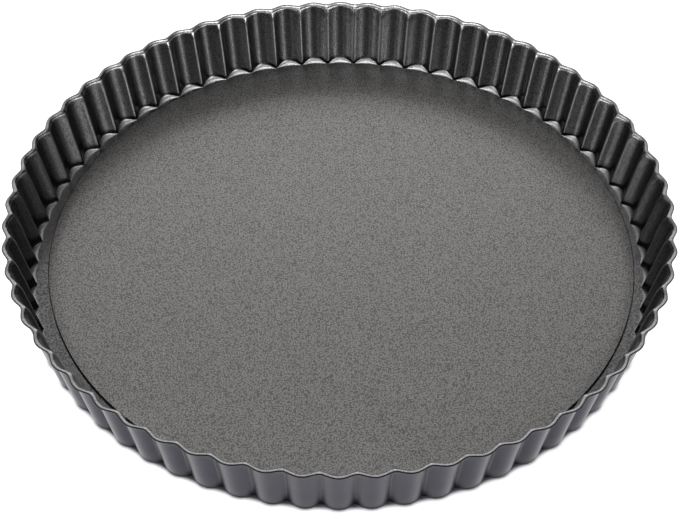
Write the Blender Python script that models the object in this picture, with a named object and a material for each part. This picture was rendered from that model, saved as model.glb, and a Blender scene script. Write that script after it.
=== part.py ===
"""Loose-bottomed fluted tart pan, 28 cm, in coated sheet steel.

Two pieces that come apart by hand:
  fluted_ring  one pressed sheet: flat ledge, rounded foot, flaring fluted wall and out-turned lip
  loose_base   a thin flat disc that lies loose on the ring's ledge, pushed a little off centre

The frame's origin is the middle of the ring's flat underside, and +Z points up out of the pan.
All lengths are in metres.
"""

from math import cos, hypot, pi, radians, sin, tan

import bmesh
import bpy
from mathutils import Matrix, Vector

# Ring: overall size
RIM_RADIUS = 0.140  # to the lip's outer edge, on the crest of a flute
HEIGHT = 0.0304  # underside of the ledge to the top of the lip
RING_SHEET = 0.0006  # thickness of the ring's sheet
FLUTES = 64  # a crest of one flute lies on +X
WALL_FLUTE_DEPTH = 0.0027  # inner ridge to outer crest, on the wall
RIM_FLUTE_DEPTH = 0.0018  # the same at the lip's edge, which is more nearly round

# Ring: profile of the sheet's middle surface
WALL_ANGLE = radians(79.0)  # rise of the wall, measured from the horizontal
CREST_FILLET = 0.0031  # bend between the ledge and the wall, at the foot of a crest
RIDGE_FILLET = 0.0006  # the same at the foot of an inner ridge
LIP_BEND = 0.0016  # bend from the wall out to the lip
LIP_ANGLE = radians(8.0)  # rise of the lip where it ends
LIP_FLANGE = 0.0006  # straight end of the lip
LEDGE_HOLE_RADIUS = 0.118  # the round hole inside the ledge

# Ring: shape of one flute, as the power of a half cosine between two inner ridges
WALL_FLUTE_POWER = 0.90  # round scallops that meet in narrow inner ridges
RIM_FLUTE_POWER = 1.5  # closer to a sine wave
RIDGE_ROUNDING = 0.17  # how blunt the ridges are, as a share of the half cosine's height
RIDGE_OPENS = (0.86, 1.10)  # climbs between which the ridges open out, where the wall ends at 1
LIP_CLIMB = 0.10  # and the lip ends this much further

# Loose base
BASE_RADIUS = 0.126
BASE_SHEET = 0.0008
BASE_OFFSET = (0.0008, 0.0028)  # how far the disc has slid from the ring's middle
BASE_EDGE_ROUNDING = 0.0002
SEAT_GAP = 0.0003  # daylight kept between the ledge and the disc

# Fineness of the faceted solids
STEPS_PER_FLUTE = 6
BASE_SIDES = 192


def clear_scene():
    for obj in list(bpy.data.objects):
        bpy.data.objects.remove(obj, do_unlink=True)


def coated_steel(name, colour, roughness):
    """Dark non-stick coating over pressed steel."""
    material = bpy.data.materials.new(name)
    material.use_nodes = True
    shader = material.node_tree.nodes["Principled BSDF"]
    shader.inputs["Base Color"].default_value = (*colour, 1.0)
    shader.inputs["Roughness"].default_value = roughness
    shader.inputs["Metallic"].default_value = 0.55
    return material


def add_object(name, bm, material, location=(0.0, 0.0, 0.0)):
    mesh = bpy.data.meshes.new(name)
    bm.to_mesh(mesh)
    bm.free()
    mesh.shade_smooth()
    mesh.set_sharp_from_angle(angle=radians(40.0))
    mesh.materials.append(material)
    obj = bpy.data.objects.new(name, mesh)
    obj.location = location
    bpy.context.collection.objects.link(obj)
    return obj


def smoothstep(low, high, x):
    t = min(max((x - low) / (high - low), 0.0), 1.0)
    return t * t * (3 - 2 * t)


def wave(turn, power):
    """The flutes' wave: 0 on the crests and 1 on the ridges between them."""
    swing = hypot(cos(FLUTES * turn / 2), RIDGE_ROUNDING) ** power
    low = RIDGE_ROUNDING**power
    high = hypot(1.0, RIDGE_ROUNDING) ** power
    return 1 - (swing - low) / (high - low)


def flute_inset(turn, climb):
    """How far the sheet stands in from its crests, at a share of the wall's height."""
    opened = smoothstep(*RIDGE_OPENS, climb)
    depth = WALL_FLUTE_DEPTH + (RIM_FLUTE_DEPTH - WALL_FLUTE_DEPTH) * opened
    return depth * wave(turn, WALL_FLUTE_POWER + (RIM_FLUTE_POWER - WALL_FLUTE_POWER) * opened)


def sheet_column(turn):
    """The sheet's middle surface at one angle, from the ledge's hole up to the lip's edge.

    Each station is (radius, height, rise).
    """
    half = RING_SHEET / 2
    lip_edge = (RIM_RADIUS - half * sin(LIP_ANGLE), HEIGHT - half * cos(LIP_ANGLE))
    bend_end = (lip_edge[0] - LIP_FLANGE * cos(LIP_ANGLE), lip_edge[1] - LIP_FLANGE * sin(LIP_ANGLE))
    # The lip turns the other way from the foot, so its bend has its centre outside the wall.
    lip_foot = (
        bend_end[0] - LIP_BEND * (sin(WALL_ANGLE) - sin(LIP_ANGLE)),
        bend_end[1] - LIP_BEND * (cos(LIP_ANGLE) - cos(WALL_ANGLE)),
    )
    ridge = wave(turn, WALL_FLUTE_POWER)
    fillet = CREST_FILLET + (RIDGE_FILLET - CREST_FILLET) * ridge
    foot_height = half + fillet * (1 - cos(WALL_ANGLE))
    foot_radius = lip_foot[0] - (lip_foot[1] - foot_height) / tan(WALL_ANGLE)
    ledge_end = foot_radius - fillet * sin(WALL_ANGLE) - WALL_FLUTE_DEPTH * ridge

    stations = [(LEDGE_HOLE_RADIUS, half, 0.0)]
    for rise in (0.0, WALL_ANGLE / 2, WALL_ANGLE):
        stations.append((ledge_end + fillet * sin(rise), half + fillet * (1 - cos(rise)), rise))
    for climb in (RIDGE_OPENS[0], 1.0):
        radius = foot_radius + (lip_foot[0] - foot_radius) * climb - flute_inset(turn, climb)
        stations.append((radius, foot_height + (lip_foot[1] - foot_height) * climb, WALL_ANGLE))
    edge_radius = lip_edge[0] - flute_inset(turn, 1.0 + LIP_CLIMB)
    stations.append((edge_radius, lip_edge[1], LIP_ANGLE))
    return stations


def skin_column(turn):
    """Points once round the sheet's cross-section: up its inner skin and down its outer one."""
    nudge = 1e-5
    columns = zip(sheet_column(turn), sheet_column(turn + nudge), sheet_column(turn - nudge))
    inner, outer = [], []
    for (radius, height, rise), ahead, behind in columns:
        swing = (ahead[0] - behind[0]) / (2 * nudge)
        climb = (ahead[1] - behind[1]) / (2 * nudge)
        # In outward, sideways and upward parts: up the sheet, then once round the ring.
        upward = Vector((cos(rise), 0.0, sin(rise)))
        sideways = Vector((swing, radius, climb))
        normal = upward.cross(sideways).normalized() * RING_SHEET / 2
        spin = Matrix.Rotation(turn, 3, "Z")
        middle = Vector((radius, 0.0, height))
        inner.append(spin @ (middle + normal))
        outer.append(spin @ (middle - normal))
    return inner + outer[::-1]


def make_fluted_ring(material):
    count = FLUTES * STEPS_PER_FLUTE
    bm = bmesh.new()
    columns = []
    for i in range(count):
        columns.append([bm.verts.new(point) for point in skin_column(2 * pi * i / count)])
    for here, beside in zip(columns, columns[1:] + columns[:1]):
        for i in range(len(here)):
            j = (i + 1) % len(here)
            bm.faces.new((here[i], here[j], beside[j], beside[i]))
    bmesh.ops.recalc_face_normals(bm, faces=bm.faces)
    return add_object("fluted_ring", bm, material)


def make_loose_base(material):
    bm = bmesh.new()
    bmesh.ops.create_cone(
        bm,
        cap_ends=True,
        segments=BASE_SIDES,
        radius1=BASE_RADIUS,
        radius2=BASE_RADIUS,
        depth=BASE_SHEET,
    )
    underside = RING_SHEET + SEAT_GAP
    place = (*BASE_OFFSET, underside + BASE_SHEET / 2)
    base = add_object("loose_base", bm, material, place)
    bevel = base.modifiers.new("edge_rounding", "BEVEL")
    bevel.width = BASE_EDGE_ROUNDING
    bevel.segments = 1
    bevel.limit_method = "ANGLE"
    bevel.angle_limit = radians(60.0)
    return base


def main():
    clear_scene()
    make_fluted_ring(coated_steel("ring_coating", (0.045, 0.045, 0.050), 0.38))
    make_loose_base(coated_steel("base_coating", (0.16, 0.155, 0.15), 0.45))


main()
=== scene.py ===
"""Looks of the loose-bottomed fluted tart pan: fine meshes, coated steel, studio light and camera.

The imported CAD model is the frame. Sizes and places are read from it; lengths are in metres.
"""

from math import cos, pi, radians, sin, sqrt, tan

import bpy
import numpy as np
from mathutils import Matrix, Vector


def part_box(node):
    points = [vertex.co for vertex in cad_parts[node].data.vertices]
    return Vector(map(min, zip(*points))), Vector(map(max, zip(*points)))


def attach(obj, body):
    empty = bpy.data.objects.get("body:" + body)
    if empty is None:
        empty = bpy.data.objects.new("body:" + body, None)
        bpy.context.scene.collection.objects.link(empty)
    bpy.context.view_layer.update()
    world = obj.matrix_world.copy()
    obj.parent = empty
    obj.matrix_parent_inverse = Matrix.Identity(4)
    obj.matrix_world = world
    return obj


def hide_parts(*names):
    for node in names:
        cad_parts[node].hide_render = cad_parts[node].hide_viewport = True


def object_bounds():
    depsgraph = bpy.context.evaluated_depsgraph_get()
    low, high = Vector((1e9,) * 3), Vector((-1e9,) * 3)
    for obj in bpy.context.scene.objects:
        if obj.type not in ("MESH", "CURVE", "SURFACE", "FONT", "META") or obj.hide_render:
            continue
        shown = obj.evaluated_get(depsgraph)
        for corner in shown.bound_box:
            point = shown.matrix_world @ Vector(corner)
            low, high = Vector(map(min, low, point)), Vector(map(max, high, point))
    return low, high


UP = np.array([0.0, 0.0, 1.0])

# The ring's sheet, as in the CAD model
RING_SHEET = 0.0006
FLUTES = 64  # a crest lies on +X
WALL_FLUTE_DEPTH = 0.0027
RIM_FLUTE_DEPTH = 0.0018
WALL_ANGLE = radians(79.0)
CREST_FILLET = 0.0031  # bend at the foot of a crest
RIDGE_FILLET = 0.0006  # bend at the foot of a ridge between two flutes
LIP_BEND = 0.0016
LIP_ANGLE = radians(8.0)
LIP_FLANGE = 0.0006

# Shape of one flute: power of a half cosine, and the rounding of the ridge between two flutes
WALL_FLUTE_POWER = 0.90
RIM_FLUTE_POWER = 1.50
RIDGE_ROUNDING = 0.17
RIDGE_OPENS = (0.86, 1.10)  # climbs between which the ridges open out, where the wall ends at 1
LIP_CLIMB = 0.10  # and the lip ends this much further

# Lightening and dulling of the coating inside the ring, as shares; the lightening is partly wear and
# partly painted highlight on the fillets, ridges and lip
RIDGE_WEAR_AND_HIGHLIGHT_FROM = 0.9  # share of a ridge's height above which it is lightened, as wear and painted highlight
FILLET_WEAR_AND_HIGHLIGHT = 0.55
LIP_WEAR_AND_HIGHLIGHT = 0.6
LIP_DULLNESS = 0.3

# Fineness of the shown meshes
STEPS_PER_FLUTE = 20
RIDGE_CROWDING = 0.55  # share by which the columns crowd towards the ridges
LEDGE_STEPS = 3
FILLET_STEPS = 10
WALL_STEPS = 10
LIP_STEPS = 10
EDGE_STEPS = 4
BASE_SIDES = 256
BASE_RINGS = 24
BASE_EDGE_RADIUS = 0.00038
NUDGE = 1e-5  # turn to either side, in radians, between which a row's sideways slope is taken

# Finishes: scales of the grain, in features per metre, and their strengths
FLAKES_PER_METRE = 1600.0
FLAKE_CORE = 0.35  # a flake is light within this share of its spacing
FLAKE_EDGE = 0.65  # and the ground between the flakes is dark beyond this one
PATCHES_PER_METRE = 900.0
PATCHES_FULL_AT = 0.55  # noise above which a worn patch is fully worn
SMUDGES_PER_METRE = 35.0
GLOSS_SPREAD = 0.03  # either way in roughness
DULLED_BY = 0.2  # in roughness, where the mesh is marked as fully dull
RELIEF_DEPTH = 0.00005

# Studio
TABLE_REACH = 30.0
TABLE_DROP = 0.0001  # of the table's top below the pan's underside
TABLE_WHITE = (0.5, 0.5, 0.505)
TABLE_SHADE = (0.012, 0.012, 0.016)
TABLE_ROUGHNESS = 0.8
TABLE_GLOW = 1.3
CONTACT_SHADOW = 0.0045  # reach of the shadow round the pan's foot
SHADOW_OPENNESS = (0.38, 0.62)  # open shares of the sky between which the table turns white
BACKDROP_GLOW = 0.65  # seen past the table from low down, but lighting nothing
ROOM_LIGHT = 0.01
LIGHT_DISTANCE = 2.0
# Softboxes on a dome round the pan: name, azimuth, elevation, half width, half height (degrees
# as the pan sees them; azimuth 0 is behind it and 90 to its right), and radiance
SOFTBOXES = (
    ("overhead", 0, 90, 12.5, 12.5, 10.5),
    ("overhead_left", 270, 66, 19, 10, 5.2),
    ("overhead_right", 90, 66, 19, 10, 2.5),
    ("back_panel", 0, 34, 25.5, 8, 2.1),
    ("back_panel_high", 0, 49, 20.5, 7, 1.0),
    ("side_left", 272, 40, 15.5, 14, 1.0),
    ("low_right", 88, 13, 12, 10, 1.5),
    ("key_right_outer", 105, 16, 7, 12, 1.5),
    ("key_right_side", 120, 16, 7, 12, 6.3),
    ("key_right", 135, 16, 7, 12, 11.7),
    ("key_right_inner", 150, 16, 7, 12, 2.5),
    ("low_front", 187, 16, 27, 12, 0.4),
    ("high_front", 180, 44, 25, 12, 3.6),
    ("low_backdrop", 0, 12, 25, 11, 2.5),
    ("key_left_inner", 217, 16, 12, 12, 2.2),
    ("key_left", 240, 16, 7, 12, 10.1),
    ("key_left_side", 255, 16, 7, 12, 5.7),
)

# Camera: aim and distance in rim radii, lens and sensor in millimetres
CAMERA_AIM = (0.0, -0.0167, 0.0)
CAMERA_DISTANCE = 4.673
CAMERA_ELEVATION = radians(46.24)
CAMERA_ROLL = radians(0.26)
CAMERA_LENS = 80.3
CAMERA_SENSOR = 36.0


# ---------------------------------------------------------------- meshes

def mesh_object(name, points, faces, material):
    mesh = bpy.data.meshes.new(name)
    mesh.from_pydata(points, [], faces)
    mesh.validate()
    mesh.shade_smooth()
    mesh.materials.append(material)
    obj = bpy.data.objects.new(name, mesh)
    bpy.context.collection.objects.link(obj)
    return obj


def smoothstep(low, high, x):
    t = min(max((x - low) / (high - low), 0.0), 1.0)
    return t * t * (3 - 2 * t)


def flute_inset(turns, climb):
    """How far the sheet stands in from its crests at a share of the wall's height."""
    opened = smoothstep(*RIDGE_OPENS, climb)
    depth = WALL_FLUTE_DEPTH + (RIM_FLUTE_DEPTH - WALL_FLUTE_DEPTH) * opened
    return depth * inset_at(turns, WALL_FLUTE_POWER + (RIM_FLUTE_POWER - WALL_FLUTE_POWER) * opened)


def sheet_rows(turns, rim_radius, height, hole_radius):
    """Rows of the sheet's middle surface, from the hole's edge to the lip's: (radii, heights, rise).

    Each row holds one radius and height for each angle round the ring, and the sheet's rise there.
    """
    half = RING_SHEET / 2
    flat = np.ones_like(turns)
    lip_edge = (rim_radius - half, height - half)
    straight = LIP_FLANGE - half  # the rounded cut edge takes up the rest of the flange
    bend_end = (lip_edge[0] - straight * cos(LIP_ANGLE), lip_edge[1] - straight * sin(LIP_ANGLE))
    lip_foot = (
        bend_end[0] - LIP_BEND * (sin(WALL_ANGLE) - sin(LIP_ANGLE)),
        bend_end[1] - LIP_BEND * (cos(LIP_ANGLE) - cos(WALL_ANGLE)),
    )
    inset = inset_at(turns, WALL_FLUTE_POWER)
    fillet = CREST_FILLET + (RIDGE_FILLET - CREST_FILLET) * inset
    foot_height = half + fillet * (1 - cos(WALL_ANGLE))
    foot_radius = lip_foot[0] - (lip_foot[1] - foot_height) / tan(WALL_ANGLE)
    ledge_end = foot_radius - fillet * sin(WALL_ANGLE) - WALL_FLUTE_DEPTH * inset

    rows = []
    for i in range(LEDGE_STEPS):
        share = i / LEDGE_STEPS
        rows.append((hole_radius + (ledge_end - hole_radius) * share, half * flat, 0.0))
    for i in range(FILLET_STEPS + 1):
        rise = WALL_ANGLE * i / FILLET_STEPS
        rows.append((ledge_end + fillet * sin(rise), half + fillet * (1 - cos(rise)), rise))
    for i in range(1, WALL_STEPS):
        climb = sqrt(i / WALL_STEPS)  # closer rows near the top, where the ridges open out
        radii = foot_radius + (lip_foot[0] - foot_radius) * climb
        levels = foot_height + (lip_foot[1] - foot_height) * climb
        rows.append((radii - flute_inset(turns, climb), levels, WALL_ANGLE))
    for i in range(LIP_STEPS + 1):
        share = i / LIP_STEPS
        rise = WALL_ANGLE + (LIP_ANGLE - WALL_ANGLE) * share
        radius = lip_foot[0] + LIP_BEND * (sin(WALL_ANGLE) - sin(rise))
        level = lip_foot[1] + LIP_BEND * (cos(rise) - cos(WALL_ANGLE))
        rows.append((radius - flute_inset(turns, 1 + LIP_CLIMB * share), level * flat, rise))
    radii, levels, rise = rows[-1]
    rows.append((radii + straight * cos(rise), levels + straight * sin(rise), rise))
    return rows


def flute_turns():
    """Angles of the columns round the ring, closer together at the ridges than on the crests."""
    pitch = 2 * pi / FLUTES
    turns = []
    for flute in range(FLUTES):
        for step in range(STEPS_PER_FLUTE):
            phase = 2 * pi * step / STEPS_PER_FLUTE
            turns.append(pitch * flute + (phase + RIDGE_CROWDING * sin(phase)) / FLUTES)
    return np.array(turns)


def inset_at(turns, power):
    """The flutes' wave: 0 on the crests and 1 on the ridges between them."""
    swing = np.sqrt(np.cos(FLUTES * turns / 2) ** 2 + RIDGE_ROUNDING**2)
    low, high = RIDGE_ROUNDING**power, sqrt(1 + RIDGE_ROUNDING**2) ** power
    return 1 - (swing**power - low) / (high - low)


def sheet_frames(turns, *sizes):
    """For each row of the middle surface: its points, and there the normals and upward tangents."""
    outward = np.stack([np.cos(turns), np.sin(turns), np.zeros_like(turns)], 1)
    along = np.stack([-np.sin(turns), np.cos(turns), np.zeros_like(turns)], 1)
    frames = []
    for here, ahead, behind in zip(*(sheet_rows(turns + d, *sizes) for d in (0.0, NUDGE, -NUDGE))):
        radii, levels, rise = here
        points = outward * radii[:, None] + UP * levels[:, None]
        swing = (ahead[0] - behind[0])[:, None] * outward + (ahead[1] - behind[1])[:, None] * UP
        sideways = along * radii[:, None] + swing / (2 * NUDGE)
        tangents = outward * cos(rise) + UP * sin(rise)
        normals = np.cross(tangents, sideways)
        normals /= np.linalg.norm(normals, axis=1)[:, None]
        frames.append((points, normals, tangents))
    return frames


def inner_wear_and_highlight(turns):
    """Two shares for each row of the inner skin: how much the coating is lightened, as wear and
    painted highlight, and how dull.
    """
    inset = inset_at(turns, WALL_FLUTE_POWER)
    ridges = np.clip((inset - RIDGE_WEAR_AND_HIGHLIGHT_FROM) / (1 - RIDGE_WEAR_AND_HIGHLIGHT_FROM), 0, 1)
    # Fillet crescents, ridge tops and the lip are lightened: partly wear, partly painted highlight
    fillets = [(1 - inset) ** 0.5 * sin(pi * i / FILLET_STEPS) for i in range(FILLET_STEPS + 1)]
    blank = np.zeros_like(turns)
    worn_and_highlit = [blank] * LEDGE_STEPS + [FILLET_WEAR_AND_HIGHLIGHT * row for row in fillets] + [ridges] * (WALL_STEPS - 1)
    worn_and_highlit += [np.maximum(ridges, LIP_WEAR_AND_HIGHLIGHT * i / LIP_STEPS) for i in range(LIP_STEPS + 1)]
    worn_and_highlit += [np.full_like(turns, LIP_WEAR_AND_HIGHLIGHT)]
    dull = [blank] * LEDGE_STEPS + fillets + [blank] * (WALL_STEPS - 1)
    dull += [np.full_like(turns, LIP_DULLNESS)] * (LIP_STEPS + 2)
    return {"wear_and_highlight": worn_and_highlit, "dull": dull}


def ring_skin(rows):
    """Rows of points once round the sheet's cross-section, with rounded cut edges."""
    half = RING_SHEET / 2
    bends = [pi * i / EDGE_STEPS for i in range(1, EDGE_STEPS)]
    section = [points + normals * half for points, normals, _ in rows]
    points, normals, tangents = rows[-1]
    section += [points + (normals * cos(a) + tangents * sin(a)) * half for a in bends]
    section += [points - normals * half for points, normals, _ in reversed(rows)]
    points, normals, tangents = rows[0]
    section += [points - (normals * cos(a) + tangents * sin(a)) * half for a in bends]
    return section


def closed_strip(section):
    """Points and quads of rows that join up both ways, like a torus."""
    rows, columns = len(section), len(section[0])
    points = np.concatenate(section)
    faces = []
    for i in range(rows):
        low, high = i * columns, (i + 1) % rows * columns
        for j in range(columns):
            k = (j + 1) % columns
            faces.append((low + k, low + j, high + j, high + k))
    return points.tolist(), faces


def make_ring(inside, outside, shaded_edge):
    """The pressed ring, with one finish inside the pan, another outside it, and cut edges painted dark
    as the shade under the lip.
    """
    low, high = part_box("fluted_ring")
    rim_radius = (high.x - low.x) / 2
    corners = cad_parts["fluted_ring"].data.vertices
    hole_radius = min(Vector(v.co[:2]).length for v in corners)
    turns = flute_turns()
    frames = sheet_frames(turns, rim_radius, high.z - low.z, hole_radius)
    points, faces = closed_strip(ring_skin(frames))
    ring = mesh_object("pressed_ring", points, faces, inside)
    ring.data.materials.append(outside)
    ring.data.materials.append(shaded_edge)
    # The cut edge rows take the dark edge material: painted shade under the lip's edge
    finishes = [0] * (len(frames) - 1) + [2] * EDGE_STEPS + [1] * (len(frames) - 1) + [2] * EDGE_STEPS
    ring.data.polygons.foreach_set("material_index", np.repeat(finishes, len(turns)).astype(np.int32))
    for name, inner_rows in inner_wear_and_highlight(turns).items():
        shares = np.zeros(len(points), dtype=np.float32)
        shares[: len(frames) * len(turns)] = np.concatenate(inner_rows)
        ring.data.attributes.new(name, "FLOAT", "POINT").data.foreach_set("value", shares)
    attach(ring, "ring")
    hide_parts("fluted_ring")


def make_base(material, shaded_edge):
    """A flat disc with a rounded, sheared edge, painted dark as the shadow in the gap where it sits on
    the ledge.
    """
    low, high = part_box("loose_base")
    centre = (low + high) / 2
    radius = (high.x - low.x) / 2
    flat = radius - BASE_EDGE_RADIUS
    outline = [(flat * i / BASE_RINGS, high.z) for i in range(1, BASE_RINGS)]
    for level, side in ((high.z - BASE_EDGE_RADIUS, 0), (low.z + BASE_EDGE_RADIUS, 1)):
        for i in range(EDGE_STEPS + 1):
            a = pi / 2 * (i / EDGE_STEPS + side)
            outline.append((flat + BASE_EDGE_RADIUS * sin(a), level + BASE_EDGE_RADIUS * cos(a)))
    outline += [(flat * i / BASE_RINGS, low.z) for i in range(BASE_RINGS - 1, 0, -1)]

    points = [(centre.x, centre.y, high.z), (centre.x, centre.y, low.z)]
    for r, level in outline:
        for j in range(BASE_SIDES):
            a = 2 * pi * j / BASE_SIDES
            points.append((centre.x + r * cos(a), centre.y + r * sin(a), level))
    first, last = 2, 2 + (len(outline) - 1) * BASE_SIDES
    faces = []
    for j in range(BASE_SIDES):
        k = (j + 1) % BASE_SIDES
        faces.append((0, first + j, first + k))
        faces.append((1, last + k, last + j))
        for i in range(len(outline) - 1):
            inner, outer = first + i * BASE_SIDES, first + (i + 1) * BASE_SIDES
            faces.append((inner + k, inner + j, outer + j, outer + k))
    base = mesh_object("base_disc", points, faces, material)
    base.data.materials.append(shaded_edge)
    # The edge band takes the dark edge material: painted shadow of the gap at the disc's edge
    flats, band = [0] * (BASE_RINGS - 1), [1] * (2 * EDGE_STEPS + 1)
    finishes = ([0, 0] + flats + band + flats) * BASE_SIDES
    base.data.polygons.foreach_set("material_index", np.array(finishes, dtype=np.int32))
    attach(base, "base")
    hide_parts("loose_base")


# ---------------------------------------------------------------- materials

def node(tree, kind, **values):
    made = tree.nodes.new(kind)
    for name, value in values.items():
        if name in made.inputs:
            made.inputs[name].default_value = value
        else:
            setattr(made, name, value)
    return made


def coated_steel(name, dark, light, roughness, relief, worn_and_highlit=None):
    """Non-stick coating: fine light flakes on darker ground, uneven gloss and a pebbled surface.

    Where the mesh attribute for wear and painted highlight is high the colour turns, in patches, to a
    lighter colour that is partly wear and partly painted highlight, and where "dull" is high the gloss
    is less.
    """
    material = bpy.data.materials.new(name)
    material.use_nodes = True
    tree = material.node_tree
    link = tree.links.new
    shader = tree.nodes["Principled BSDF"]
    shader.inputs["Metallic"].default_value = 1.0
    place = node(tree, "ShaderNodeTexCoord").outputs["Object"]

    flakes = node(tree, "ShaderNodeTexVoronoi", Scale=FLAKES_PER_METRE)
    link(place, flakes.inputs["Vector"])
    speckle = node(tree, "ShaderNodeValToRGB")
    speckle.color_ramp.elements[0].position = FLAKE_CORE
    speckle.color_ramp.elements[0].color = (*light, 1.0)
    speckle.color_ramp.elements[1].position = FLAKE_EDGE
    speckle.color_ramp.elements[1].color = (*dark, 1.0)
    link(flakes.outputs["Distance"], speckle.inputs["Fac"])
    colour = speckle.outputs["Color"]

    smudge = node(tree, "ShaderNodeTexNoise", Scale=SMUDGES_PER_METRE, Detail=3.0, Roughness=0.5)
    link(place, smudge.inputs["Vector"])
    shine = node(tree, "ShaderNodeMapRange")
    shine.inputs["To Min"].default_value = roughness - GLOSS_SPREAD
    shine.inputs["To Max"].default_value = roughness + GLOSS_SPREAD
    link(smudge.outputs["Fac"], shine.inputs["Value"])
    rough = shine.outputs["Result"]

    # Lighter patches: partly wear, partly painted highlight on the fillets, ridges and lip
    if worn_and_highlit:
        wear_and_highlight = node(tree, "ShaderNodeAttribute", attribute_name="wear_and_highlight")
        patches = node(tree, "ShaderNodeTexNoise", Scale=PATCHES_PER_METRE, Detail=2.0, Roughness=0.6)
        link(place, patches.inputs["Vector"])
        patchy = node(tree, "ShaderNodeMapRange")
        patchy.inputs["From Min"].default_value = 0.0
        patchy.inputs["From Max"].default_value = PATCHES_FULL_AT
        link(patches.outputs["Fac"], patchy.inputs["Value"])
        link(wear_and_highlight.outputs["Fac"], patchy.inputs["To Max"])
        rubbed_and_highlit = node(tree, "ShaderNodeMix", data_type="RGBA")
        link(patchy.outputs["Result"], rubbed_and_highlit.inputs["Factor"])
        link(colour, rubbed_and_highlit.inputs["A"])
        rubbed_and_highlit.inputs["B"].default_value = (*worn_and_highlit, 1.0)
        colour = rubbed_and_highlit.outputs["Result"]
        dull = node(tree, "ShaderNodeAttribute", attribute_name="dull")
        dulled = node(tree, "ShaderNodeMath", operation="MULTIPLY_ADD")
        link(dull.outputs["Fac"], dulled.inputs[0])
        dulled.inputs[1].default_value = DULLED_BY
        link(rough, dulled.inputs[2])
        rough = dulled.outputs["Value"]
    link(colour, shader.inputs["Base Color"])
    link(rough, shader.inputs["Roughness"])

    bump = node(tree, "ShaderNodeBump", Strength=relief, Distance=RELIEF_DEPTH)
    link(flakes.outputs["Distance"], bump.inputs["Height"])
    link(bump.outputs["Normal"], shader.inputs["Normal"])
    return material


# ---------------------------------------------------------------- studio

def make_floor():
    """A glowing white light table, with a painted contact shadow close in under the pan's foot."""
    low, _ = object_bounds()
    level = low[2] - TABLE_DROP
    ends = (-TABLE_REACH, TABLE_REACH)
    points = [(x, y, level) for y in ends for x in ends]
    material = bpy.data.materials.new("white_table")
    material.use_nodes = True
    tree = material.node_tree
    shader = tree.nodes["Principled BSDF"]
    shader.inputs["Roughness"].default_value = TABLE_ROUGHNESS
    # Painted contact shadow: the table's colour and glow darken where little sky is open near the pan
    shelter = node(tree, "ShaderNodeAmbientOcclusion", Distance=CONTACT_SHADOW)
    shade = node(tree, "ShaderNodeValToRGB")
    shade.color_ramp.elements[0].position = SHADOW_OPENNESS[0]
    shade.color_ramp.elements[0].color = (*TABLE_SHADE, 1.0)
    shade.color_ramp.elements[1].position = SHADOW_OPENNESS[1]
    shade.color_ramp.elements[1].color = (*TABLE_WHITE, 1.0)
    tree.links.new(shelter.outputs["AO"], shade.inputs["Fac"])
    tree.links.new(shade.outputs["Color"], shader.inputs["Base Color"])
    tree.links.new(shade.outputs["Color"], shader.inputs["Emission Color"])
    shader.inputs["Emission Strength"].default_value = TABLE_GLOW
    floor = mesh_object("table", points, [(0, 1, 3, 2)], material)


def softbox(name, azimuth, elevation, half_width, half_height, radiance):
    """A flat light on a dome round the pan, sized by its angles as the pan sees them.

    Azimuth 0 is behind the pan and 90 is to its right, in degrees.
    """
    around, above = radians(azimuth), radians(elevation)
    towards = Vector((cos(above) * sin(around), cos(above) * cos(around), sin(above)))
    light = bpy.data.lights.new(name, "AREA")
    light.shape = "RECTANGLE"
    light.size = 2 * LIGHT_DISTANCE * tan(radians(half_width))
    light.size_y = 2 * LIGHT_DISTANCE * tan(radians(half_height))
    light.energy = pi * light.size * light.size_y * radiance
    lamp = bpy.data.objects.new(name, light)
    lamp.location = towards * LIGHT_DISTANCE
    lamp.rotation_euler = (-towards).to_track_quat("-Z", "Y").to_euler()
    bpy.context.collection.objects.link(lamp)


def light_studio():
    """Softboxes on a dome, in a nearly dark room with a pale backdrop."""
    world = bpy.data.worlds.new("studio")
    world.use_nodes = True
    background = world.node_tree.nodes["Background"]
    background.inputs["Color"].default_value = (1.0, 1.0, 1.0, 1.0)
    seen = node(world.node_tree, "ShaderNodeLightPath").outputs["Is Camera Ray"]
    strength = node(world.node_tree, "ShaderNodeMath", operation="MULTIPLY_ADD")
    world.node_tree.links.new(seen, strength.inputs[0])
    strength.inputs[1].default_value = BACKDROP_GLOW
    strength.inputs[2].default_value = ROOM_LIGHT
    world.node_tree.links.new(strength.outputs["Value"], background.inputs["Strength"])
    bpy.context.scene.world = world
    for setup in SOFTBOXES:
        softbox(*setup)
    bpy.context.scene.view_settings.view_transform = "Standard"


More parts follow.
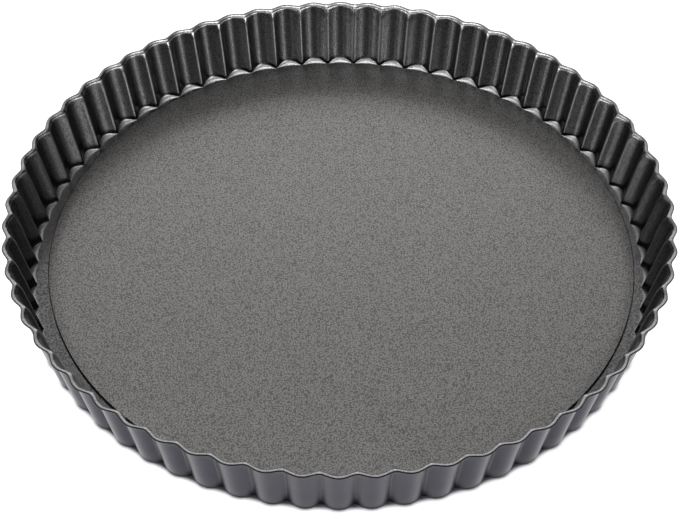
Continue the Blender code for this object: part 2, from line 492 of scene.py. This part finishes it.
def place_camera(rim_radius):
    """The view from the front and above."""
    aim = Vector(CAMERA_AIM) * rim_radius
    data = bpy.data.cameras.new("camera")
    data.lens = CAMERA_LENS
    data.sensor_width = CAMERA_SENSOR
    camera = bpy.data.objects.new("camera", data)
    away = Vector((0.0, -cos(CAMERA_ELEVATION), sin(CAMERA_ELEVATION)))
    camera.location = aim + CAMERA_DISTANCE * rim_radius * away
    turn = Matrix.Rotation(pi / 2 - CAMERA_ELEVATION, 4, "X") @ Matrix.Rotation(CAMERA_ROLL, 4, "Z")
    camera.rotation_euler = turn.to_euler()
    bpy.context.collection.objects.link(camera)
    bpy.context.scene.camera = camera


# ---------------------------------------------------------------- scene

def corners(bounds):
    return [[float(x) for x in corner] for corner in bounds]


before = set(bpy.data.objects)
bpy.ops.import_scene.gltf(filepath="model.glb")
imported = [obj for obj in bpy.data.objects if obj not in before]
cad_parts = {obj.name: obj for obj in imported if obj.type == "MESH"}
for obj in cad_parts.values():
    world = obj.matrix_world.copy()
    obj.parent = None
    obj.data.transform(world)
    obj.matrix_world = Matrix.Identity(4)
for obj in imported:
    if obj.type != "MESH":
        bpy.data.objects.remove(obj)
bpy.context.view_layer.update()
RIM = (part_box("fluted_ring")[1].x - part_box("fluted_ring")[0].x) / 2

# Dark edge material: painted shade for the shadow under the lip's edge and in the gap at the disc's
# edge
painted_edge_shade = coated_steel("cut_edge_painted_shade", (0.004, 0.004, 0.005), (0.012, 0.012, 0.014), 0.5, 0.1)
# The inner coating's lighter colour is partly wear and partly painted highlight
inner = coated_steel(
    "ring_nonstick", (0.068, 0.068, 0.070), (0.155, 0.155, 0.158), 0.20, 0.25, worn_and_highlit=(0.27, 0.27, 0.27)
)
outer = coated_steel("ring_outside", (0.0125, 0.0125, 0.0215), (0.0175, 0.0175, 0.0295), 0.26, 0.05)
disc = coated_steel("base_nonstick", (0.096, 0.0935, 0.091), (0.206, 0.2005, 0.1955), 0.34, 0.25)
make_ring(inner, outer, painted_edge_shade)
make_base(disc, painted_edge_shade)
make_floor()
light_studio()
place_camera(RIM)
